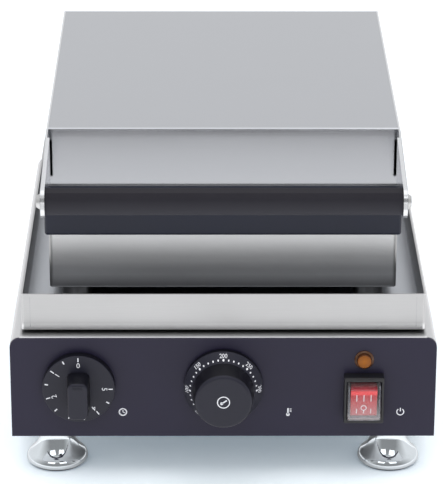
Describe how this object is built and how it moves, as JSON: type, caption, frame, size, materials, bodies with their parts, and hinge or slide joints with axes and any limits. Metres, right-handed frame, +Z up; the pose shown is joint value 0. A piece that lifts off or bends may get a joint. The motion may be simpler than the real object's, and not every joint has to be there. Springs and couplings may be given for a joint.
{
  "type": "waffle cone maker",
  "caption": "Table-top electric waffle cone maker: stainless base with timer, thermostat and switch, drip tray, fixed lower plate and hinged lid with its own plate and a front handle bar.",
  "frame": {"origin": "on the floor, under the middle of the whole object with the lid closed", "axes": "+Z up, -Y towards the user at the control panel, +X to the user's right"},
  "size_m": [0.31, 0.413, 0.2545],
  "materials": {
    "stainless": "brushed stainless sheet",
    "hinge_steel": "satin steel",
    "panel_black": "satin black coating",
    "plate_coating": "dark non-stick coating on cast aluminium",
    "chrome": "polished",
    "post_steel": "turned",
    "screw_steel": "zinc plated",
    "heater_steel": "heat-darkened",
    "clamp_steel": "rolled",
    "insulation": "mineral wool mat",
    "handle_black": "satin black",
    "knob_black": "satin black with white marks",
    "switch_black": "moulded black",
    "lamp_bezel": "moulded dark bezel",
    "lamp_amber": "clear amber",
    "rocker_red": "glossy red",
    "hood_clear": "clear soft plastic",
    "copper": "drawn copper tube",
    "terminal_white": "moulded off-white"
  },
  "bodies": {
    "base": {"base_casing": "stainless", "bottom_cover": "stainless", "cable_gland": "switch_black", "cover_screws": "screw_steel", "drip_tray": "stainless", "foot_front_left": "chrome", "foot_front_right": "chrome", "foot_nuts": "screw_steel", "foot_rear_left": "chrome", "foot_rear_right": "chrome", "foot_studs": "screw_steel", "front_panel": "panel_black", "gland_nut": "switch_black", "hinge_bracket_left": "hinge_steel", "hinge_bracket_right": "hinge_steel", "hinge_bracket_screws": "hinge_steel", "hinge_clips": "hinge_steel", "hinge_pins": "hinge_steel", "lamp_housing": "lamp_bezel", "lamp_lens": "lamp_amber", "lamp_nut": "screw_steel", "lower_casing": "stainless", "lower_clamp_screws": "screw_steel", "lower_heater": "heater_steel", "lower_heater_clamp": "clamp_steel", "lower_insulation": "insulation", "lower_plate": "plate_coating", "lower_plate_bolts": "screw_steel", "post_bolts": "screw_steel", "post_front_left": "post_steel", "post_front_right": "post_steel", "post_rear_left": "post_steel", "post_rear_right": "post_steel", "rear_panel": "stainless", "switch_cover": "hood_clear", "switch_frame": "switch_black", "switch_housing": "switch_black", "terminal_block": "terminal_white", "thermostat_body": "switch_black", "thermostat_bulb": "copper", "timer_body": "switch_black", "tray_spacers": "post_steel", "wire_sleeve": "hinge_steel"},
    "lid": {"lid_casing": "stainless", "lid_side_left": "stainless", "lid_side_right": "stainless", "upper_plate": "plate_coating", "upper_plate_bolts": "screw_steel", "upper_heater": "heater_steel", "upper_heater_clamp": "clamp_steel", "upper_clamp_screws": "screw_steel", "upper_insulation": "insulation", "handle": "handle_black", "handle_screws": "screw_steel"},
    "timer": {"timer_knob": "knob_black", "timer_shaft": "screw_steel"},
    "thermostat": {"thermostat_knob": "knob_black", "thermostat_shaft": "screw_steel"},
    "rocker": {"switch_rocker": "rocker_red"}
  },
  "joints": [
    {"name": "lid_hinge", "type": "hinge", "parent": "base", "child": "lid", "pos_m": [0, 0.182, 0.1916], "axis": [-1, 0, 0], "range_deg": [0, 100]},
    {"name": "timer_turn", "type": "hinge", "parent": "base", "child": "timer", "pos_m": [-0.1052, -0.1715, 0.0765], "axis": [0, 1, 0], "range_deg": [0, 270]},
    {"name": "thermostat_turn", "type": "hinge", "parent": "base", "child": "thermostat", "pos_m": [0, -0.1715, 0.0765], "axis": [0, 1, 0], "range_deg": [-90, 135]},
    {"name": "switch_rock", "type": "hinge", "parent": "base", "child": "rocker", "pos_m": [0.1024, -0.1695, 0.0676], "axis": [-1, 0, 0], "range_deg": [0, 20]}
  ]
}
